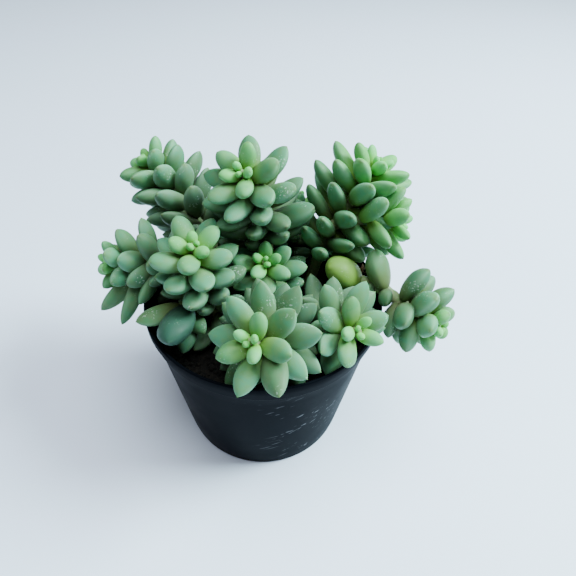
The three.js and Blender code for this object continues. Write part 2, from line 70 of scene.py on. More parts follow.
LEAF_LENGTH = 18.0
LEAF_WIDTH = 7.0
LEAF_THICKNESS = 0.84
LEAF_WIDEST = 0.56
LEAF_BASE = 0.28
TAPER_POWER = 2.1
GOLDEN_ANGLE = 137.508
TURN_SCATTER = 14
TILT_SCATTER = 12
LENGTH_SCATTER = 0.16
WIDTH_SCATTER = 0.10
FIRST_LEAF = 0.6
LEAF_SPACING = 0.55
SPACING_POWER = 1.16
YOUNG_WIDTH = 0.27
YOUNG_LENGTH = 0.13
YOUNG_LEAN = 14
WIDTH_LEAVES = 5
WIDTH_POWER = 1.8
LENGTH_LEAVES = 5.2
LATE_LENGTH_LEAVES = 9
LATE_LENGTH = 0.58
LEAN_LEAVES = 4.5
LEAF_SEAT = 0.55
OLD_RANK = 30

DRAW_FACTOR = 16807
DRAW_PRIME = 2147483647
FIRST_SEED = 1000
SEED_STEP = 77
TINT_SEED = 5000
TINT_SEED_STEP = 31
SINGLE_TINT_SEED = 900
SINGLE_TINT_STEP = 53

YOUNG_BLUNTNESS = 0.54
OLD_BLUNTNESS = 0.61
BLUNTNESS = {"leafy_stem_front": 0.78, "leafy_stem_front_right": 0.76, "leafy_stem_front_left": 0.72,
             "leafy_stem_upper_right": 0.52}
# how fast the leaves of a stem take on their old colour and its painted shade, set per stem to lighten
# or darken whole heads; 1 for the others
AGEING_AND_SHADE = {"leafy_stem_upper_right": 0.4, "leafy_stem_front": 1.2, "leafy_stem_front_right": 1.15}
# a leaf has its adult form at a third of the age at which it looks old
MATURING = 3
LEAF_RINGS = 18
LEAF_SIDES = 22

# ripples round a leaf: height, waves round it, shift along it and shift by tint
RIPPLES = ((0.022, 2, 4, 40), (0.018, 3, -6, 90))
SIDE_BULGE = 0.05
BELLY_BULGE = 0.06
TOP_FLATNESS = 0.22
EDGE_FLATNESS = 0.16
CURL = 0.045
CURL_SCATTER = 0.05
CURL_MIDDLE = 0.4
CURL_DIP = 0.4
TIP_POINT = 0.18
EDGE_SHARPNESS = 10
KNUCKLE_HEIGHT = 0.06
KNUCKLE_PITCH = 2.1
KNUCKLE_TURNS = 3

# stem, root, rise, apex, aim, number of leaves, phase, hand, size, girth and lean: as in the part
SHOOTS = (
    ("leafy_stem_upper_left", (-14, 13, 44), (-3, 5, 34), (-43, 38, 90), (-10, -1, 13),
     40, -18, -1, 0.9, 1.06, 68),
    ("leafy_stem_upper_middle", (1, 12, 44), (2, 0, 26), (-7, 7, 103), (-6, -11, 11),
     38, 250, -1, 0.98, 1.02, 76),
    ("leafy_stem_upper_right", (16, 13, 44), (1, 2, 28), (38, 26, 96), (5, 0, 14),
     40, 73, 1, 1.06, 0.98, 68),
    ("leafy_stem_upper_right", (23, 17, 77), (6, -1, 4), (45.5, 12, 82.5), (9, -4, 2),
     20, 52, -1, 0.96, 0.9, 62),
    ("leafy_stem_left", (-19, 1, 44), (-6, 0, 40), (-52.5, 5, 69.8), (-8, -7, 8),
     34, 26, -1, 0.8, 0.96, 80),
    ("leafy_stem_middle_left", (-12, -6, 44), (-5, 0, 22), (-20.4, -8, 88), (3, -5, 17),
     38, 6, -1, 0.9, 1.02, 74),
    ("leafy_stem_middle", (3, 3, 44), (0, 3, 14), (0.2, -1, 76), (1, -8, 12),
     22, 70, -1, 0.92, 0.94, 74),
    ("leafy_stem_front", (4, -11, 44), (2, 0, 16), (-3.9, -34.5, 76.5), (-7, -7, 12),
     31, -127, 1, 1.05, 1.04, 84),
    ("leafy_stem_front_right", (18, -6, 44), (1, 1, 12), (27.2, -26.5, 71.5), (6, -9, 11),
     28, 141, 1, 0.98, 1.0, 80),
    ("leafy_stem_right", (25, 5, 44), (3, 1, 40), (56.7, -16.5, 61.5), (7, -7, 6),
     19, -74, 1, 0.86, 1.18, 78),
    ("leafy_stem_right", (26.2, 5.3, 54), (1, 0, 4), (33, 4.5, 64.5), (4, 0, 4),
     0, 0, 1, 1, 1, 80),
    ("leafy_stem_back_right", (6, 25, 44), (0, 4, 20), (12, 37, 76), (2, 8, 12),
     24, 30, 1, 0.9, 0.94, 74),
    ("leafy_stem_back_left", (-9, 25, 44), (0, 4, 16), (-15, 38, 72), (-4, 8, 12),
     24, 100, -1, 0.9, 0.94, 74),
    ("leafy_stem_front_left", (-21, -9, 44), (-1, 0, 8), (-26, -11, 67), (-2, -1, 6),
     0, 0, 1, 1, 1, 80),
)
FAR_RIGHT = 9
STUB = 10
UPPER_MIDDLE = 1
UPPER_RIGHT = 2
LEFT = 4
FRONT_LEFT = 13
FRONT = 7

# shoot, distance down from its tip, the leaf's own tip, width, and ripeness with painted shade: 1 is
# yellow, -1 is painted shade in dark teal
SINGLE_LEAVES = (
    (STUB, 0.5, (19.2, 3.2, 75), 12.4, 1.0),
    (STUB, 5.5, (36, -6, 63), 6.0, 0.0),
    (STUB, 8.5, (24, -5, 60), 6.5, 0.0),
    (STUB, 2, (31, 15, 62.5), 6.5, 0.2),
    (FAR_RIGHT, 22, (31.8, 3.5, 74.5), 10.4, 0.12),
    (FAR_RIGHT, 26, (34.8, -5.5, 66.5), 5.6, 0.0),
    (FAR_RIGHT, 21.5, (39, -10, 65), 6.0, 0.0),
    (FAR_RIGHT, 15.5, (43.5, -16, 54), 6.4, 0.2),
    (UPPER_RIGHT, 26, (26.4, 8, 69.3), 7.8, -0.3),
    (UPPER_RIGHT, 27.5, (33.5, 6, 68.5), 8.4, 0.25),
    (UPPER_RIGHT, 22, (31, 5, 77), 8.0, 0.0),
    (FRONT_LEFT, 2, (-28.8, -31.5, 67), 12.4, -1.0),
    (FRONT_LEFT, 1.5, (-40, -24, 65), 8.8, 0.12),
    (FRONT_LEFT, 7.5, (-20.5, -24, 59.5), 6.5, -0.5),
    (FRONT_LEFT, 3, (-16, -21, 63.5), 7.0, 0.0),
    (FRONT_LEFT, 8.5, (-29, 2, 62), 6.5, 0.0),
    (LEFT, 19, (-42, -9, 63), 6.4, 0.0),
    (LEFT, 21, (-35.5, -8, 71), 6.4, 0.0),
    (LEFT, 14, (-54.5, -6, 59.5), 7.0, 0.1),
    (LEFT, 13.5, (-46, -13, 58), 6.4, -0.2),
    (FRONT, 11, (6.8, -47.1, 69.5), 8.2, 0.08),
    (UPPER_MIDDLE, 25, (16.8, 6, 88), 9.4, -0.3),
)
SINGLE_LEAF_RANK = 40
SINGLE_LEAF_AGE = 0.55

TRACE_STEPS = 60
TRACE_END = 1e-4
BARE_STEM = 9

# spacing: each leaf counts as four balls along it, with a bluntness of its own
BEAD_BLUNTNESS = 0.72
STEM_BALL_STEP = 3
TINY = 1e-9
BEADS = np.array((0.30, 0.50, 0.70, 0.88))
SPREAD_ROUNDS = 60
SPREAD_RATE = 0.6
SPREAD_RETURN = 0.05
REACH = 20
GAP_WANTED = 0.9
GAP_NEEDED = 0.55
OWN_GAP = 0.1
STEM_GAP = 0.6
POT_GAP = 1.6
SOIL_GAP = 0.8
SLACK = 0.4
TOLERANCE = 0.02
SHRINK_ROUNDS = 6
SHRINK = 0.95
RIM_PATH_RADIUS = 39.4
RIM_PATH_HEIGHT = 61.5
RIM_PATH_INSET = 2

# camera: the photo's viewpoint, target, lens and sensor in mm, roll in degrees and near clip in m
CAMERA_PLACE = (0, -114.3, 172.2)
CAMERA_TARGET = (7.56, -5.85, 68.8)
CAMERA_ROLL = 2.75
CAMERA_LENS = 29.1
SENSOR_WIDTH = 36
CLIP_START = 0.01


def seeded_draw(seed):
    """Numbers from 0 to 1, the same row for the same seed."""
    value = seed

    def draw():
        nonlocal value
        value = value * DRAW_FACTOR % DRAW_PRIME
        return value / DRAW_PRIME

    return draw


# ---------------------------------------------------------------- stems


class Shoot:
    """Points, distances and frames along a stem, from its tip down to its root, in mm."""

    def __init__(self, stem, root, rise, apex, aim, leaf_count, phase, hand, size, girth, lean):
        self.stem = stem
        self.leaf_count = leaf_count
        self.phase = phase
        self.hand = hand
        self.size = size
        self.girth = girth
        self.lean = lean
        root, rise, apex, aim = (np.array(v, float) for v in (root, rise, apex, aim))
        pulls = (root, root + rise, apex - aim, apex)
        steps = np.arange(TRACE_STEPS, -1, -1) / TRACE_STEPS
        back = 1 - steps
        weights = (back ** 3, 3 * back ** 2 * steps, 3 * back * steps ** 2, steps ** 3)
        self.points = sum(w[:, None] * p for w, p in zip(weights, pulls))
        spans = np.linalg.norm(np.diff(self.points, axis=0), axis=1)
        self.lengths = np.concatenate(([0.0], np.cumsum(spans)))
        self.total = self.lengths[-1]
        self.frames = []
        side = np.array((1.0, 0, 0))
        for k in range(TRACE_STEPS + 1):
            tangent = self.points[max(k - 1, 0)] - self.points[min(k + 1, TRACE_STEPS)]
            tangent = tangent / np.linalg.norm(tangent)
            side = side - tangent * tangent.dot(side)
            side = side / np.linalg.norm(side)
            self.frames.append((tangent, side, np.cross(tangent, side)))

    def place(self, down):
        """The centre and frame at a distance from the tip."""
        distance = min(max(down, 0), self.total - TRACE_END)
        k = int(np.searchsorted(self.lengths, distance)) - 1
        k = max(k, 0)
        share = (distance - self.lengths[k]) / (self.lengths[k + 1] - self.lengths[k])
        centre = self.points[k] + (self.points[k + 1] - self.points[k]) * share
        return centre, self.frames[k if share < 0.5 else k + 1]


def stem_radius(down):
    growth = 1 - np.exp(-down / STEM_TAPER_LENGTH)
    return STEM_TIP_RADIUS + (STEM_ROOT_RADIUS - STEM_TIP_RADIUS) * growth


# ---------------------------------------------------------------- leaves


class Leaf:
    """One leaf: where it sits, where it points, its size in mm and what tints it."""

    def __init__(self, stem, rank, base, direction, up, length, width, age, ripe_and_shade, tint):
        self.stem = stem
        self.rank = rank
        self.base = base
        self.direction = direction
        self.up = up
        self.length = length
        self.width = width
        self.age = age
        self.ripe_and_shade = ripe_and_shade
        self.tint = tint


def spiral_leaves(shoot, number):
    """Leaves in golden-angle order from the tip down: young and upright, then old and spread."""
    draw = seeded_draw(FIRST_SEED + SEED_STEP * number)
    tint_draw = seeded_draw(TINT_SEED + TINT_SEED_STEP * number)
    leaves = []
    for i in range(shoot.leaf_count):
        wide = 1 - math.exp(-(((i + FIRST_LEAF) / WIDTH_LEAVES) ** WIDTH_POWER))
        early = 1 - math.exp(-(((i + FIRST_LEAF) / LENGTH_LEAVES) ** 2))
        late = 1 - math.exp(-i / LATE_LENGTH_LEAVES)
        long = (1 - LATE_LENGTH) * early + LATE_LENGTH * late
        spread = 1 - math.exp(-i / LEAN_LEAVES)
        down = FIRST_LEAF + LEAF_SPACING * i ** SPACING_POWER
        if down > shoot.total - BARE_STEM:
            break
        centre, (tangent, side, normal) = shoot.place(down)
        turn = shoot.phase + shoot.hand * GOLDEN_ANGLE * i + (draw() - 0.5) * TURN_SCATTER
        turn = math.radians(turn)
        lean = YOUNG_LEAN + (shoot.lean - YOUNG_LEAN) * spread + (draw() - 0.5) * TILT_SCATTER
        lean = math.radians(lean)
        length = LEAF_LENGTH * shoot.size * (YOUNG_LENGTH + (1 - YOUNG_LENGTH) * long)
        length *= 1 + (draw() - 0.5) * LENGTH_SCATTER
        width = LEAF_WIDTH * shoot.girth * (YOUNG_WIDTH + (1 - YOUNG_WIDTH) * wide)
        width *= 1 + (draw() - 0.5) * WIDTH_SCATTER
        outward = math.cos(turn) * side + math.sin(turn) * normal
        direction = math.cos(lean) * tangent + math.sin(lean) * outward
        direction = direction / np.linalg.norm(direction)
        base = centre + outward * stem_radius(down) * LEAF_SEAT
        leaves.append(Leaf(shoot.stem, i, base, direction, tangent, length, width,
                           min(i / OLD_RANK, 1), 0.0, tint_draw()))
    return leaves


def single_leaf(shoots, number, which, down, tip, width, ripe_and_shade):
    """A listed leaf, from a place on a stem to the tip given for it."""
    centre, (tangent, _, _) = shoots[which].place(down)
    span = np.array(tip, float) - centre
    length = np.linalg.norm(span)
    tint = seeded_draw(SINGLE_TINT_SEED + SINGLE_TINT_STEP * number)()
    return Leaf(shoots[which].stem, SINGLE_LEAF_RANK + number, centre, span / length, tangent,
                length, width, SINGLE_LEAF_AGE, ripe_and_shade, tint)


def outline(u, bluntness):
    """Half-width along a leaf as a share of its widest: a rounded base, and a blunt or long taper."""
    root = ((LEAF_WIDEST - u) / LEAF_WIDEST) ** 2 * (1 - LEAF_BASE * LEAF_BASE)
    rising = np.sqrt(np.clip(1 - root, 0, 1))
    taper = np.clip((u - LEAF_WIDEST) / (1 - LEAF_WIDEST), 0, 1)
    falling = (1 - taper ** TAPER_POWER) ** bluntness
    return np.where(u < LEAF_WIDEST, rising, falling)


# ---------------------------------------------------------------- spacing of the leaves


class Spacing:
    """Turns leaves apart from each other, from other stems, the pot and the soil."""

    def __init__(self, leaves, shoots):
        self.leaves = leaves
        self.base = np.array([leaf.base for leaf in leaves])
        self.home = np.array([leaf.direction for leaf in leaves])
        self.direction = self.home.copy()
        self.length = np.array([leaf.length for leaf in leaves])
        self.radius = np.array([leaf.width for leaf in leaves]) * (1 + LEAF_THICKNESS) / 4
        self.scale = np.ones(len(leaves))
        self.kept = np.ones(len(leaves), bool)
        stems = np.array([leaf.stem for leaf in leaves])
        middle = self.base + self.home * (self.length / 2)[:, None]
        far = np.linalg.norm(middle[:, None] - middle[None], axis=2)
        one, two = np.where(np.triu(far < REACH, 1))
        order = range(len(BEADS))
        bead, other = (v.ravel() for v in np.meshgrid(order, order, indexing="ij"))
        self.one = np.repeat(one, len(bead))
        self.two = np.repeat(two, len(bead))
        self.bead = np.tile(bead, len(one))
        self.other = np.tile(other, len(one))
        self.same = stems[self.one] == stems[self.two]
        rows = [(shoot.stem, shoot.points[k], stem_radius(shoot.lengths[k]))
                for shoot in shoots for k in range(0, TRACE_STEPS + 1, STEM_BALL_STEP)]
        self.stem_centre = np.array([row[1] for row in rows])
        self.stem_width = np.array([row[2] for row in rows])
        self.foreign = stems[:, None] != np.array([row[0] for row in rows])[None]

    def contacts(self, own_gap, other_gap):
        """The push on each bead, the depth of each leaf pair and of each leaf on a body."""
        reach = (BEADS[None] * (self.length * self.scale)[:, None])[..., None]
        centre = self.base[:, None] + reach * self.direction[:, None]
        radius = (self.radius * self.scale)[:, None] * outline(BEADS, BEAD_BLUNTNESS)[None]
        push = np.zeros_like(centre)

        between = centre[self.one, self.bead] - centre[self.two, self.other]
        distance = np.linalg.norm(between, axis=1) + TINY
        gap = np.where(self.same, own_gap, other_gap)
        widths = radius[self.one, self.bead] + radius[self.two, self.other]
        pair = np.clip(widths + gap - distance, 0, None)
        pair = pair * (self.kept[self.one] & self.kept[self.two])
        apart = between * (pair / distance * 0.5)[:, None]
        np.add.at(push, (self.one, self.bead), apart)
        np.add.at(push, (self.two, self.other), -apart)

        span = centre[:, :, None] - self.stem_centre
        distance = np.linalg.norm(span, axis=3) + TINY
        stem = np.clip(radius[:, :, None] + self.stem_width + STEM_GAP - distance, 0, None)
        stem = stem * self.foreign[:, None]
        push += (span * (stem / distance)[..., None]).sum(2)

        from_axis = np.hypot(centre[..., 0], centre[..., 1]) + TINY
        height = np.minimum(centre[..., 2], RIM_PATH_HEIGHT)
        wall = POT_BASE_RADIUS + (RIM_PATH_RADIUS - POT_BASE_RADIUS) * (height / RIM_PATH_HEIGHT)
        away = np.stack([centre[..., 0] * (1 - wall / from_axis),
                         centre[..., 1] * (1 - wall / from_axis),
                         centre[..., 2] - height], -1)
        distance = np.linalg.norm(away, axis=2)
        pot = np.clip(radius + POT_GAP - distance, 0, None)
        push += away * (pot / distance)[..., None]

        above = np.hypot(centre[..., 0], centre[..., 1]) < RIM_PATH_RADIUS - RIM_PATH_INSET
        soil = np.where(above, np.clip(SOIL_TOP + radius + SOIL_GAP - centre[..., 2], 0, None), 0)
        push[..., 2] += soil

        body = np.maximum(np.maximum(pot, soil), stem.max(2)).max(1) * self.kept
        return push, pair, body

    def turn_apart(self):
        """Turns every leaf away from what presses on it, and a little back to where it grew."""
        leverage = (BEADS ** 2).sum()
        for _ in range(SPREAD_ROUNDS):
            push, _, _ = self.contacts(OWN_GAP, GAP_WANTED)
            turning = (push * BEADS[None, :, None]).sum(1)
            self.direction = self.direction + turning * (SPREAD_RATE / (self.length * leverage))[:, None]
            self.direction = self.direction + (self.home - self.direction) * SPREAD_RETURN
            self.direction /= np.linalg.norm(self.direction, axis=1)[:, None]

    def draw_in(self):
        """Makes the leaves that still touch something a little smaller."""
        for _ in range(SHRINK_ROUNDS):
            _, pair, body = self.contacts(-np.inf, GAP_NEEDED)
            deepest = body - SLACK
            np.maximum.at(deepest, self.one, pair)
            np.maximum.at(deepest, self.two, pair)
            self.scale[deepest > TOLERANCE] *= SHRINK

    def leave_out(self):
        """Drops leaves, the older of a pair first, until nothing touches."""
        ranks = [leaf.rank % SINGLE_LEAF_RANK for leaf in self.leaves]
        while True:
            _, pair, body = self.contacts(-np.inf, GAP_NEEDED)
            worst = int(pair.argmax())
            pressed = int(body.argmax())
            if max(body[pressed] - SLACK, pair[worst]) <= TOLERANCE:
                break
            one, two = self.one[worst], self.two[worst]
            older = one if ranks[one] >= ranks[two] else two
            self.kept[pressed if body[pressed] - SLACK > pair[worst] else older] = False

    def result(self):
        """The leaves that stay, turned and sized."""
        self.turn_apart()
        self.draw_in()
        self.leave_out()
        for leaf, direction, scale in zip(self.leaves, self.direction, self.scale):
            leaf.direction = direction
            leaf.length *= scale
            leaf.width *= scale
        return [leaf for leaf, kept in zip(self.leaves, self.kept) if kept]


# ---------------------------------------------------------------- mesh helpers


def mesh_object(name, points, faces, material):
    mesh = bpy.data.meshes.new(name)
    mesh.from_pydata([tuple(p) for p in points], [], faces)
    mesh.validate()
    mesh.shade_smooth()
    mesh.materials.append(material)
    obj = bpy.data.objects.new(name, mesh)
    bpy.context.scene.collection.objects.link(obj)
    return obj


def tube_faces(rings, sides):
    """Faces of a closed tube: its points run ring by ring, then come the two pole points."""
    faces = []
    for r in range(rings - 1):
        for s in range(sides):
            a = r * sides + s
            b = r * sides + (s + 1) % sides
            faces.append((a, b, b + sides, a + sides))
    start = rings * sides
    last = start - sides
    for s in range(sides):
        faces.append((start, (s + 1) % sides, s))
        faces.append((start + 1, last + s, last + (s + 1) % sides))
    return faces


def flat_ring(angle, radius, z):
    return np.stack([np.cos(angle) * radius, np.sin(angle) * radius, np.full(len(angle), z)], 1)


def merge_parts(parts):
    """Point arrays and face lists as one array and one list."""
    points = []
    faces = []
    count = 0
    for part_points, part_faces in parts:
        points.append(part_points)
        faces.extend(tuple(i + count for i in face) for face in part_faces)
        count += len(part_points)
    return np.concatenate(points), faces


# ---------------------------------------------------------------- leaf and stem surfaces


def leaf_surface(leaf):
    """Points, faces, distances along and nearness to the edge of a leaf, flatter above than below."""
    share = np.arange(1, LEAF_RINGS + 1) / (LEAF_RINGS + 1)
    along = 0.5 - 0.5 * np.cos(np.pi * share)
    angle = 2 * np.pi * np.arange(LEAF_SIDES) / LEAF_SIDES
    mature = min(leaf.age * MATURING, 1)
    old_bluntness = BLUNTNESS.get(leaf.stem, OLD_BLUNTNESS)
    bluntness = YOUNG_BLUNTNESS + (old_bluntness - YOUNG_BLUNTNESS) * mature
    half = outline(along, bluntness)[:, None] * leaf.width / 2
    ripple = sum(height * np.sin(waves * angle[None] + rise * along[:, None] + shift * leaf.tint)
                 for height, waves, rise, shift in RIPPLES)
    half = half * (1 + ripple)
    wide = np.cos(angle)[None] * half * (1 + SIDE_BULGE * mature)
    flat = mature * (1 - max(leaf.ripe_and_shade, 0))
    deep = np.sin(angle) * (1 - EDGE_FLATNESS * flat * np.cos(angle) ** 2)
    deep = np.where(deep > 0, deep * (1 - TOP_FLATNESS * flat), deep * (1 + BELLY_BULGE * flat))
    deep = deep[None] * half * LEAF_THICKNESS
    curl = (CURL + CURL_SCATTER * (leaf.tint - CURL_MIDDLE)) * mature * leaf.length
    lift = (curl * (along ** 2 - CURL_DIP * along))[:, None]
    across = np.cross(leaf.direction, leaf.up)
    across = across / np.linalg.norm(across)
    through = np.cross(across, leaf.direction)
    spine = leaf.base + along[:, None] * leaf.length * leaf.direction
    points = (spine[:, None]
              + wide[..., None] * across
              + (deep + lift)[..., None] * through).reshape(-1, 3)
    reach = leaf.length + TIP_POINT * mature
    tip = leaf.base + reach * leaf.direction + (1 - CURL_DIP) * curl * through
    points = np.vstack([points, leaf.base, tip]) * MM
    distances = np.concatenate([np.repeat(along, LEAF_SIDES), (0.0, 1.0)])
    edges = np.concatenate([np.tile(np.abs(np.cos(angle)) ** EDGE_SHARPNESS, LEAF_RINGS), (0.0, 1.0)])
    return points, tube_faces(LEAF_RINGS, LEAF_SIDES), distances, edges * mature


def stem_surface(shoot, seed):
    """A round stem with low knuckles where leaves sat."""
    angle = 2 * np.pi * np.arange(STEM_SIDES) / STEM_SIDES
    rows = []
    for k in range(TRACE_STEPS + 1):
        down = shoot.lengths[k]
        _, side, normal = shoot.frames[k]
        knuckles = KNUCKLE_HEIGHT * np.sin(down * KNUCKLE_PITCH + KNUCKLE_TURNS * angle + seed)
        radius = stem_radius(down) * (1 + knuckles)
        rows.append(shoot.points[k]
                    + (np.cos(angle) * radius)[:, None] * side
                    + (np.sin(angle) * radius)[:, None] * normal)
    rings = np.array(rows)[::-1].reshape(-1, 3)
    points = np.vstack([rings, shoot.points[-1], shoot.points[0]]) * MM
    return points, tube_faces(TRACE_STEPS + 1, STEM_SIDES)


# ---------------------------------------------------------------- material helpers


class Nodes:
    """Short calls for building one material's node tree. Noise scales are in waves per metre."""

    def __init__(self, name):
        self.material = bpy.data.materials.new(name)
        self.material.use_nodes = True
        self.tree = self.material.node_tree
        self.shader = self.tree.nodes["Principled BSDF"]
        self.place = self.add("ShaderNodeTexCoord").outputs["Object"]

    def add(self, kind, **settings):
        node = self.tree.nodes.new(kind)
        for key, value in settings.items():
            setattr(node, key, value)
        return node

    def link(self, source, target):
        self.tree.links.new(source, target)

    def feed(self, target, value):
        if hasattr(value, "is_linked"):
            self.link(value, target)
        else:
            target.default_value = value

    def noise(self, scale, detail=3, roughness=0.5, vector=None):
        node = self.add("ShaderNodeTexNoise")
        node.inputs["Scale"].default_value = scale
        node.inputs["Detail"].default_value = detail
        node.inputs["Roughness"].default_value = roughness
        self.link(vector or self.place, node.inputs["Vector"])
        return node.outputs["Fac"]

    def span(self, value, low, high, to_low=0.0, to_high=1.0):
        node = self.add("ShaderNodeMapRange", interpolation_type="SMOOTHSTEP")
        self.feed(node.inputs["Value"], value)
        node.inputs["From Min"].default_value = low
        node.inputs["From Max"].default_value = high
        node.inputs["To Min"].default_value = to_low
        node.inputs["To Max"].default_value = to_high
        return node.outputs["Result"]

    def math(self, operation, a, b=0.0):
        node = self.add("ShaderNodeMath", operation=operation)
        self.feed(node.inputs[0], a)
        self.feed(node.inputs[1], b)
        return node.outputs[0]

    def blend(self, factor, a, b):
        node = self.add("ShaderNodeMix", data_type="RGBA")
        self.feed(node.inputs["Factor"], factor)
        self.feed(node.inputs["A"], a if hasattr(a, "is_linked") else (*a, 1))
        self.feed(node.inputs["B"], b if hasattr(b, "is_linked") else (*b, 1))
        return node.outputs["Result"]

    def slanted(self, scale, degrees):
        node = self.add("ShaderNodeMapping", vector_type="TEXTURE")
        node.inputs["Rotation"].default_value = (0, math.radians(degrees), 0)
        node.inputs["Scale"].default_value = [1 / value for value in scale]
        self.link(self.place, node.inputs["Vector"])
        return node.outputs["Vector"]

    def bump(self, height, strength, distance):
        node = self.add("ShaderNodeBump")
        node.inputs["Strength"].default_value = strength
        node.inputs["Distance"].default_value = distance
        self.link(height, node.inputs["Height"])
        self.link(node.outputs["Normal"], self.shader.inputs["Normal"])

    def set(self, **values):
        for key, value in values.items():
            self.feed(self.shader.inputs[key.replace("_", " ")], value)


# ---------------------------------------------------------------- materials

YOUNG_GREEN = (0.15, 0.58, 0.13)
LEAF_GREEN = (0.130, 0.19, 0.060)
YOUNG_BASE = (0.17, 0.33, 0.04)
OLD_BASE = (0.118, 0.14, 0.042)
BLOOM = (0.040, 0.235, 0.128)
RIPE = (0.15, 0.29, 0.04)
# dark teal for leaves that sit in shade: painted shade
PAINTED_SHADE_TEAL = (0.021, 0.064, 0.052)
# old leaves' greyer green, darkened as painted shade for the shaded lower leaves deep in each head
OLD_GREEN_AND_SHADE = (0.082, 0.118, 0.074)
TIP_TINT = (0.12, 0.16, 0.06)
# paler green along the side edges: partly a paler rim, partly painted highlight on the rounded edges
RIM_TINT_AND_HIGHLIGHT = (0.22, 0.45, 0.27)
SPECK_TINT = (0.46, 0.62, 0.50)
STEM_GREEN = (0.16, 0.26, 0.09)
STEM_TAN = (0.27, 0.30, 0.15)
POT_BLACK = (0.0020, 0.0026, 0.0040)
POT_DUST = (0.012, 0.0145, 0.018)
POT_SCUFF = (0.12, 0.125, 0.135)
POT_SHINE = (0.75, 0.88, 1.0, 1)
# soil colours near black: dark soil with painted shade of the pot's inside
SOIL_DARK_AND_SHADE = (0.0022, 0.0018, 0.0016)
SOIL_BROWN = (0.012, 0.0088, 0.0064)
GRAIN_GREY = (0.42, 0.41, 0.38)
DRIED_BROWN = (0.16, 0.085, 0.045)
FLOOR_SHADE = (0.70, 0.77, 0.98)
FLOOR_WHITE = (0.77, 0.82, 0.99)

PATCH_SCALE = 320
SPECK_SCALE = 1700
CLUSTER_SCALE = 150
SKIN_SCALE = 2600
STEM_SCALE = 500
CLOUD_SCALE = 45
SCUFF_AREA_SCALE = 70
POT_GRAIN_SCALE = 900
CRUMB_SCALE = 700
PLAIN_SCALE = 900
FLOOR_SCALE = 3
PLAIN_SHADE = 0.6

# scratches: scale along each axis and the slant in degrees
FINE_SCRATCHES = ((800, 800, 150), 66)
BROAD_SCRATCHES = ((200, 200, 620), -14)

# where the scuffs fade in, in metres: toward the front, toward the right and down from the collar
SCUFF_FRONT = (-0.012, -0.032)
SCUFF_RIGHT = (-0.012, 0.018)
SCUFF_DOWN = (0.057, 0.049)


def leaf_material():
    """Fleshy green under a pale waxy bloom that is worn thin at the base and in patches, with painted
    shade on old and shaded leaves and a pale side rim that is partly painted highlight.
    """
    n = Nodes("leaf")
    traits = n.add("ShaderNodeAttribute", attribute_name="leaf_traits")
    parts = n.add("ShaderNodeSeparateColor")
    n.link(traits.outputs["Color"], parts.inputs["Color"])
    edge = n.add("ShaderNodeAttribute", attribute_name="leaf_edge").outputs["Fac"]
    along, age, tint = (parts.outputs[key] for key in ("Red", "Green", "Blue"))
    ripe_and_shade = traits.outputs["Alpha"]

    flesh = n.blend(n.span(age, 0.0, 0.30), YOUNG_GREEN, LEAF_GREEN)
    foot = n.blend(n.span(age, 0.1, 0.55), YOUNG_BASE, OLD_BASE)
    flesh = n.blend(n.span(along, 0.70, 0.15, 0.0, 0.85), flesh, foot)
    patches = n.noise(PATCH_SCALE, detail=4, roughness=0.6)
    worn = n.span(patches, 0.35, 0.65, 0.55, 1.0)
    outer = n.span(along, 0.15, 0.85, 0.12, 1.0)
    old = n.span(age, 0.0, 0.35, 0.35, 0.80)
    cover = n.math("MULTIPLY", n.math("MULTIPLY", worn, outer), old)
    colour = n.blend(cover, flesh, BLOOM)
    # pale line along the side edges of mature leaves: partly their paler rim, partly painted highlight
    rim_and_highlight = n.math("MULTIPLY", edge, n.span(along, 0.35, 0.9, 0.0, 0.5))
    colour = n.blend(rim_and_highlight, colour, RIM_TINT_AND_HIGHLIGHT)
    # older, lower leaves turn greyer and darker: partly their own colour, partly painted shade deep in
    # the heads
    colour = n.blend(n.span(age, 0.22, 0.95, 0.0, 0.62), colour, OLD_GREEN_AND_SHADE)
    colour = n.blend(n.math("MULTIPLY", n.span(along, 0.965, 0.995), 0.5), colour, TIP_TINT)
    specks = n.span(n.noise(SPECK_SCALE, detail=1), 0.60, 0.68)
    clusters = n.span(n.noise(CLUSTER_SCALE, detail=2), 0.56, 0.66, 0.0, 0.62)
    settled = n.math("MULTIPLY", clusters, n.span(age, 0.15, 0.6, 0.35, 1.0))
    colour = n.blend(n.math("MULTIPLY", specks, settled), colour, SPECK_TINT)
    yellow = n.math("MULTIPLY", ripe_and_shade, n.span(patches, 0.3, 0.7, 0.65, 0.95))
    colour = n.blend(yellow, colour, RIPE)
    # a negative ripeness darkens the leaf toward teal: painted shade for leaves in the shade of the
    # heads above
    colour = n.blend(n.span(ripe_and_shade, 0, -1, 0.0, 0.85), colour, PAINTED_SHADE_TEAL)
    shade = n.add("ShaderNodeHueSaturation")
    n.link(n.span(tint, 0, 1, 0.86, 1.12), shade.inputs["Value"])
    n.link(n.span(tint, 0, 1, 0.49, 0.51), shade.inputs["Hue"])
    n.link(colour, shade.inputs["Color"])

    n.set(Base_Color=shade.outputs["Color"], Roughness=n.span(patches, 0.3, 0.7, 0.42, 0.58))
    n.set(Subsurface_Weight=0.28, Subsurface_Scale=0.002, Subsurface_Radius=(0.55, 1.0, 0.35))
    n.set(Sheen_Weight=0.02, Sheen_Roughness=0.45, Specular_IOR_Level=0.13)
    n.bump(n.noise(SKIN_SCALE, detail=2), strength=0.12, distance=0.0002)
    return n.material


def stem_material():
    """Green stem with tan patches."""
    n = Nodes("stem")
    bands = n.noise(STEM_SCALE, detail=3)
    colour = n.blend(n.span(bands, 0.35, 0.65), STEM_GREEN, STEM_TAN)
    n.set(Base_Color=colour, Roughness=0.6)
    n.bump(bands, strength=0.3, distance=0.0004)
    return n.material


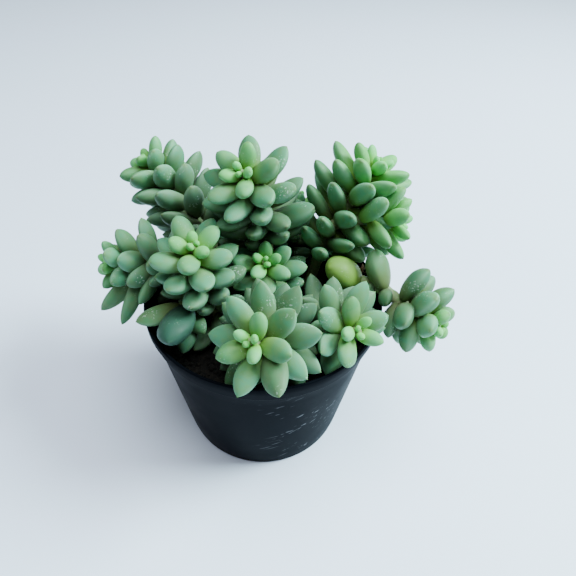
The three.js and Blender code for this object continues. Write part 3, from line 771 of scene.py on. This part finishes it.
def pot_material():
    """Thin black moulded plastic, satin, with dust and, below the collar in front, grey scuffs."""
    n = Nodes("pot")
    cloud = n.noise(CLOUD_SCALE, detail=5, roughness=0.6)
    fine = n.span(n.noise(1, detail=2, vector=n.slanted(*FINE_SCRATCHES)), 0.63, 0.72)
    broad = n.span(n.noise(1, detail=3, vector=n.slanted(*BROAD_SCRATCHES)), 0.65, 0.74)
    marks = n.math("MAXIMUM", fine, broad)
    marks = n.math("MULTIPLY", marks, n.span(n.noise(SCUFF_AREA_SCALE, detail=2), 0.50, 0.60))
    axes = n.add("ShaderNodeSeparateXYZ")
    n.link(n.place, axes.inputs["Vector"])
    front = n.span(axes.outputs["Y"], *SCUFF_FRONT)
    right = n.span(axes.outputs["X"], *SCUFF_RIGHT)
    down = n.span(axes.outputs["Z"], *SCUFF_DOWN)
    zone = n.math("MULTIPLY", n.math("MULTIPLY", front, right), down)
    scuffs = n.math("MULTIPLY", marks, zone)
    dust = n.math("MULTIPLY", n.span(cloud, 0.45, 0.75, 0.0, 0.35), n.span(zone, 0, 1, 0.35, 1.0))
    colour = n.blend(dust, POT_BLACK, POT_DUST)
    colour = n.blend(scuffs, colour, POT_SCUFF)
    n.set(Base_Color=colour, Roughness=n.span(cloud, 0.3, 0.7, 0.34, 0.46))
    n.set(Specular_IOR_Level=0.008, Specular_Tint=POT_SHINE)
    n.bump(n.noise(POT_GRAIN_SCALE, detail=2), strength=0.05, distance=0.0002)
    return n.material


def soil_material():
    """Dark soil with browner crumbs, both made near black as painted shade for the shaded inside of the
    pot.
    """
    n = Nodes("soil")
    crumbs = n.noise(CRUMB_SCALE, detail=5, roughness=0.7)
    colour = n.blend(n.span(crumbs, 0.35, 0.7), SOIL_DARK_AND_SHADE, SOIL_BROWN)
    n.set(Base_Color=colour, Roughness=0.92, Specular_IOR_Level=0.2)
    n.bump(crumbs, strength=0.8, distance=0.0008)
    return n.material


def plain_material(name, colour, roughness):
    """A colour with a little cloudiness."""
    n = Nodes(name)
    dark = tuple(PLAIN_SHADE * value for value in colour)
    mottle = n.span(n.noise(PLAIN_SCALE), 0.35, 0.65)
    n.set(Base_Color=n.blend(mottle, dark, colour), Roughness=roughness)
    return n.material


def floor_material():
    """White with a faint cool wash."""
    n = Nodes("floor")
    wash = n.noise(FLOOR_SCALE, detail=3)
    n.set(Base_Color=n.blend(wash, FLOOR_SHADE, FLOOR_WHITE), Roughness=0.55)
    return n.material


# ---------------------------------------------------------------- pot

AXIS_RADIUS = 0.001
FOOT_ROUND = 1.2
WALL_START = 4
OUTER_RINGS = 12
INNER_RINGS = 8
COLLAR_GAP = 0.5
COLLAR_EDGE = 0.1
COLLAR_ROUND = 0.45
COLLAR_ROUND_OUT = 0.35
COLLAR_ROUND_UP = 0.55
LIP_START = 3
LIP_INSET = 0.02
LIP_END = 2
INNER_STEP_OUT = 0.4
INNER_STEP_UP = 1.6
FLOOR_CORNER = 0.6
POT_WOBBLE = 0.0008
WOBBLE_TURN = 0.7
DRAIN_SIDES = 32
DRAIN_DEPTH = 6


def pot_outer_radius(z):
    return POT_BASE_RADIUS + (POT_RIM_RADIUS - COLLAR_STEP - POT_BASE_RADIUS) * (z / POT_HEIGHT)


def arc_profile(centre, radius, start, end, steps=5):
    """Points of a round edge in the pot's profile, angles in degrees."""
    angles = np.radians(np.linspace(start, end, steps))
    return [(centre[0] + radius * math.cos(a), centre[1] + radius * math.sin(a)) for a in angles]


def pot_profile():
    """Half section of the pot from the axis under the floor, round the lip, to the axis inside."""
    collar = POT_HEIGHT - COLLAR_HEIGHT
    under_collar = pot_outer_radius(collar)
    lip = POT_WALL / 2
    profile = [(AXIS_RADIUS, 0)]
    profile += arc_profile((POT_BASE_RADIUS - FOOT_ROUND, FOOT_ROUND), FOOT_ROUND, -90, 5)
    outside = np.linspace(WALL_START, collar - COLLAR_GAP, OUTER_RINGS)
    profile += [(pot_outer_radius(z), z) for z in outside]
    profile += [(under_collar + COLLAR_EDGE, collar)]
    edge = (under_collar + COLLAR_ROUND_OUT, collar + COLLAR_ROUND_UP)
    profile += arc_profile(edge, COLLAR_ROUND, -60, 10, 4)
    profile += [(POT_RIM_RADIUS - LIP_INSET, POT_HEIGHT - LIP_START), (POT_RIM_RADIUS, POT_HEIGHT - lip)]
    profile += arc_profile((POT_RIM_RADIUS - lip, POT_HEIGHT - lip), lip, 20, 160, 6)
    profile += [(POT_RIM_RADIUS - POT_WALL, POT_HEIGHT - LIP_END)]
    profile += [(under_collar - POT_WALL + INNER_STEP_OUT, collar + INNER_STEP_UP)]
    inside = np.linspace(collar, WALL_START, INNER_RINGS)
    profile += [(pot_outer_radius(z) - POT_WALL, z) for z in inside]
    corner = pot_outer_radius(POT_FLOOR) - POT_WALL - FLOOR_CORNER
    profile += [(corner, POT_FLOOR), (AXIS_RADIUS, POT_FLOOR)]
    return profile


def drain_cutter():
    """Short rods in a ring, where the drain holes are cut."""
    rods = bmesh.new()
    for i in range(DRAIN_HOLES):
        turn = 2 * math.pi * (i + 0.5) / DRAIN_HOLES
        place = Vector((math.cos(turn), math.sin(turn), 0)) * DRAIN_CIRCLE_RADIUS * MM
        bmesh.ops.create_cone(rods, cap_ends=True, segments=DRAIN_SIDES,
                              radius1=DRAIN_RADIUS * MM, radius2=DRAIN_RADIUS * MM,
                              depth=DRAIN_DEPTH * MM, matrix=Matrix.Translation(place))
    mesh = bpy.data.meshes.new("drain_cutter")
    rods.to_mesh(mesh)
    rods.free()
    cutter = bpy.data.objects.new("drain_cutter", mesh)
    bpy.context.scene.collection.objects.link(cutter)
    return cutter


def make_pot(material):
    """The turned shell, with its drain holes cut through the floor."""
    angle = 2 * np.pi * np.arange(POT_SIDES) / POT_SIDES
    rings = []
    for radius, z in pot_profile():
        wobble = 1 + POT_WOBBLE * np.sin(2 * angle + WOBBLE_TURN) * z / POT_HEIGHT
        rings.append(flat_ring(angle, radius * wobble, z))
    points = np.vstack(rings + [[(0, 0, 0)], [(0, 0, POT_FLOOR)]]) * MM
    pot = mesh_object("pot_shell", points, tube_faces(len(rings), POT_SIDES), material)
    cutter = drain_cutter()
    cut = pot.modifiers.new("drains", "BOOLEAN")
    cut.object = cutter
    cut.operation = "DIFFERENCE"
    cut.solver = "EXACT"
    apply_modifiers(pot)
    bpy.data.objects.remove(cutter)
    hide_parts("pot")
    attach(pot, "root")


def apply_modifiers(obj):
    """Puts what the modifiers make in place of the mesh."""
    depsgraph = bpy.context.evaluated_depsgraph_get()
    mesh = bpy.data.meshes.new_from_object(obj.evaluated_get(depsgraph))
    obj.modifiers.clear()
    obj.data = mesh


# ---------------------------------------------------------------- soil

SOIL_RINGS = 56
SOIL_SECTORS = 150
SOIL_SEED = 4242
LUMP_SCALE = 0.16
LUMP_LAYER = 0.3
LUMP_ROUGHNESS = 0.9
LUMP_STEP = 2.1
LUMP_OCTAVES = 5
LUMP_HEIGHT = 0.7
CRUMB_MARGIN = 1.5
CRUMB_OFFSET = 50
CRUMB_DENTS = 0.45
CRUMB_DENT_SCALE = 1.7
# least size along each axis and what a draw adds to it
CRUMB_SQUASH = ((0.8, 0.5), (0.8, 0.5), (0.55, 0.35))

# loose bits: how many, smallest radius, what is added to it, power of the draw, share that stands out
CRUMBS = (620, 0.35, 0.9, 2.2, 0.2)
PALE_GRAINS = (26, 0.3, 0.35, 1, 0.5)


def soil_height(x, y):
    """Uneven top of the soil, in mm, at a place in mm."""
    place = Vector((x * LUMP_SCALE, y * LUMP_SCALE, LUMP_LAYER))
    lumps = noise.fractal(place, LUMP_ROUGHNESS, LUMP_STEP, LUMP_OCTAVES)
    return SOIL_TOP + LUMP_HEIGHT * max(-1.0, min(1.0, lumps))


def crumb(centre, radius, draw):
    """An irregular lump: a small ball with its points moved in and out."""
    ball = bmesh.new()
    bmesh.ops.create_icosphere(ball, subdivisions=1, radius=1)
    offset = Vector([draw() * CRUMB_OFFSET for _ in range(3)])
    squash = Vector([least + more * draw() for least, more in CRUMB_SQUASH])
    points = []
    for vertex in ball.verts:
        size = radius * (1 + CRUMB_DENTS * noise.noise(vertex.co * CRUMB_DENT_SCALE + offset))
        points.append([centre[k] + vertex.co[k] * squash[k] * size for k in range(3)])
    faces = [tuple(v.index for v in face.verts) for face in ball.faces]
    ball.free()
    return np.array(points), faces


def loose_bits(edge, draw, count, smallest, more, power, proud):
    """Crumbs strewn over the soil inside an edge radius."""
    bits = []
    for _ in range(count):
        turn = 2 * math.pi * draw()
        from_axis = (edge - CRUMB_MARGIN) * math.sqrt(draw())
        x = from_axis * math.cos(turn)
        y = from_axis * math.sin(turn)
        radius = smallest + more * draw() ** power
        bits.append(crumb((x, y, soil_height(x, y) + proud * radius), radius, draw))
    return bits


def make_soil(material, grain_material):
    """A rough-topped filling with loose crumbs and pale grains on it."""
    edge = pot_outer_radius(SOIL_TOP) - POT_WALL - CLEARANCE
    bottom = POT_FLOOR + CLEARANCE
    low_edge = pot_outer_radius(bottom) - POT_WALL - CLEARANCE - FLOOR_CORNER
    angle = 2 * np.pi * np.arange(SOIL_SECTORS) / SOIL_SECTORS
    rings = [flat_ring(angle, low_edge, bottom)]
    for r in range(SOIL_RINGS):
        radius = edge * (1 - r / SOIL_RINGS)
        places = [(math.cos(a) * radius, math.sin(a) * radius) for a in angle]
        rings.append(np.array([(x, y, soil_height(x, y)) for x, y in places]))
    points = np.vstack(rings + [[(0, 0, bottom)], [(0, 0, soil_height(0, 0))]])
    draw = seeded_draw(SOIL_SEED)
    filling = [(points, tube_faces(len(rings), SOIL_SECTORS))] + loose_bits(edge, draw, *CRUMBS)
    grains = loose_bits(edge, draw, *PALE_GRAINS)
    for name, parts, look in (("soil_filling", filling, material),
                              ("soil_grains", grains, grain_material)):
        points, faces = merge_parts(parts)
        piece = mesh_object(name, points * MM, faces, look)
        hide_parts("soil")
        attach(piece, "root")


# ---------------------------------------------------------------- leafy stems

SCRAP_PLACE = (33.4, 5.0, 66.0)
SCRAPS = 9
SCRAP_SPREAD = 1.6
SCRAP_LENGTH = 2.6
SCRAP_WIDTH = 0.5
SCRAP_SEED = 606
SCRAP_RINGS = 7
SCRAP_HEADING = (-0.5, -0.7, 0.0)
SCRAP_HEADING_SPREAD = (1, 1, 0.9)
SCRAP_SIDEWAYS = (0.3, 0.2, 1.0)
SCRAP_SHORTEST = 0.6
SCRAP_LONGER = 0.6
SCRAP_BEND = 1.2
SCRAP_BEND_BACK = 0.3
SCRAP_END_WIDTH = 0.35
SCRAP_SWELL_START = 0.15
SCRAP_SWELL = 0.8
SCRAP_THICKNESS = 0.35


def dried_scraps():
    """Curled brown shreds of an old leaf where it left the stub: narrow bent blades with two sides."""
    draw = seeded_draw(SCRAP_SEED)
    parts = []
    for _ in range(SCRAPS):
        start = np.array(SCRAP_PLACE) + (np.array((draw(), draw(), draw())) - 0.5) * SCRAP_SPREAD
        heading = np.array((draw(), draw(), draw())) * SCRAP_HEADING_SPREAD + SCRAP_HEADING
        heading = heading / np.linalg.norm(heading)
        across = np.cross(heading, SCRAP_SIDEWAYS)
        across = across / np.linalg.norm(across)
        out = np.cross(across, heading)
        length = SCRAP_LENGTH * (SCRAP_SHORTEST + SCRAP_LONGER * draw())
        bend = (draw() - SCRAP_BEND_BACK) * SCRAP_BEND
        u = np.linspace(0, 1, SCRAP_RINGS)
        spine = start + (u * length)[:, None] * heading + (bend * u ** 2)[:, None] * out
        swell = np.sin(np.pi * (SCRAP_SWELL_START + SCRAP_SWELL * u))
        half = SCRAP_WIDTH * (SCRAP_END_WIDTH + swell)[:, None] / 2
        rings = [spine + across * half, spine + out * half * SCRAP_THICKNESS,
                 spine - across * half, spine - out * half * SCRAP_THICKNESS]
        points = np.vstack([np.stack(rings, 1).reshape(-1, 3), spine[0], spine[-1]])
        parts.append((points, tube_faces(len(u), len(rings))))
    return merge_parts(parts)


def make_leafy_stem(stem, shoots, leaves, leaf_look, stem_look):
    """One stem's leaves, its stem and any dried scraps as meshes, standing for one CAD node."""
    own = [leaf for leaf in leaves if leaf.stem == stem]
    surfaces = [leaf_surface(leaf) for leaf in own]
    points, faces = merge_parts([surface[:2] for surface in surfaces])
    foliage = mesh_object(stem + "_leaves", points, faces, leaf_look)
    # a stem's age rate also sets how much painted shade its leaves carry
    ageing_and_shade = AGEING_AND_SHADE.get(stem, 1)
    rows = []
    for leaf, (_, _, distances, _) in zip(own, surfaces):
        same = (np.full(len(distances), v) for v in (leaf.age * ageing_and_shade, leaf.tint, leaf.ripe_and_shade))
        rows.append(np.stack([distances, *same], 1))
    traits = np.concatenate(rows).astype(np.float32)
    edges = np.concatenate([surface[3] for surface in surfaces]).astype(np.float32)
    attribute = foliage.data.color_attributes.new("leaf_traits", "FLOAT_COLOR", "POINT")
    attribute.data.foreach_set("color", traits.ravel())
    edge = foliage.data.attributes.new("leaf_edge", "FLOAT", "POINT")
    edge.data.foreach_set("value", edges)
    bare = [stem_surface(shoot, number) for number, shoot in enumerate(shoots) if shoot.stem == stem]
    points, faces = merge_parts(bare)
    stalk = mesh_object(stem + "_stalk", points, faces, stem_look)
    pieces = [foliage, stalk]
    if stem == SHOOTS[STUB][0]:
        points, faces = dried_scraps()
        brown = plain_material("dried_leaf", DRIED_BROWN, roughness=0.8)
        pieces.append(mesh_object(stem + "_scraps", points * MM, faces, brown))
    for piece in pieces:
        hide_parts(stem)
        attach(piece, "root")


# ---------------------------------------------------------------- stage, light and camera

# in metres and watts: name, place, size, power and colour of each light
LIGHTS = (
    ("window", (0.76, 0.06, 0.80), 0.50, 39, (0.72, 0.97, 0.97)),
    ("sky_fill", (0.05, 0.04, 1.15), 0.9, 20, (0.82, 0.97, 1.0)),
)
LIGHT_TARGET = (0, 0, 0.06)
ROOM_COLOUR = (1.0, 0.94, 0.94, 1)
ROOM_STRENGTH = 0.25
FLOOR_HALF = 2.5


def make_floor(material):
    corners = [(x * FLOOR_HALF, y * FLOOR_HALF, 0) for x, y in ((-1, -1), (1, -1), (1, 1), (-1, 1))]
    floor = mesh_object("floor", corners, [(0, 1, 2, 3)], material)


def area_light(name, place, size, power, colour):
    light = bpy.data.lights.new(name, "AREA")
    light.shape = "DISK"
    light.size = size
    light.energy = power
    light.color = colour
    lamp = bpy.data.objects.new(name, light)
    lamp.location = place
    lamp.rotation_euler = (Vector(LIGHT_TARGET) - Vector(place)).to_track_quat("-Z", "Y").to_euler()
    bpy.context.scene.collection.objects.link(lamp)


def make_light():
    """A window to the right, a soft fill from above and a dim room."""
    for row in LIGHTS:
        area_light(*row)
    world = bpy.data.worlds.new("room")
    world.use_nodes = True
    background = world.node_tree.nodes["Background"]
    background.inputs["Color"].default_value = ROOM_COLOUR
    background.inputs["Strength"].default_value = ROOM_STRENGTH
    bpy.context.scene.world = world


def make_camera():
    data = bpy.data.cameras.new("photo_view")
    data.lens = CAMERA_LENS
    data.sensor_width = SENSOR_WIDTH
    data.clip_start = CLIP_START
    camera = bpy.data.objects.new("photo_view", data)
    place = Vector(CAMERA_PLACE) * MM
    look = (Vector(CAMERA_TARGET) * MM - place).to_track_quat("-Z", "Y").to_matrix()
    roll = Matrix.Rotation(math.radians(CAMERA_ROLL), 3, "Z")
    camera.matrix_world = Matrix.Translation(place) @ (look @ roll).to_4x4()
    bpy.context.scene.collection.objects.link(camera)
    bpy.context.scene.camera = camera


# ---------------------------------------------------------------- the object

make_camera()
make_light()
make_floor(floor_material())
make_pot(pot_material())
make_soil(soil_material(), plain_material("grain", GRAIN_GREY, roughness=0.8))

shoots = [Shoot(*row) for row in SHOOTS]
spiral = [leaf for number, shoot in enumerate(shoots) for leaf in spiral_leaves(shoot, number)]
single = [single_leaf(shoots, number, *row) for number, row in enumerate(SINGLE_LEAVES)]
leaves = Spacing(spiral + single, shoots).result()
leaf_look = leaf_material()
stem_look = stem_material()
for stem in dict.fromkeys(shoot.stem for shoot in shoots):
    make_leafy_stem(stem, shoots, leaves, leaf_look, stem_look)
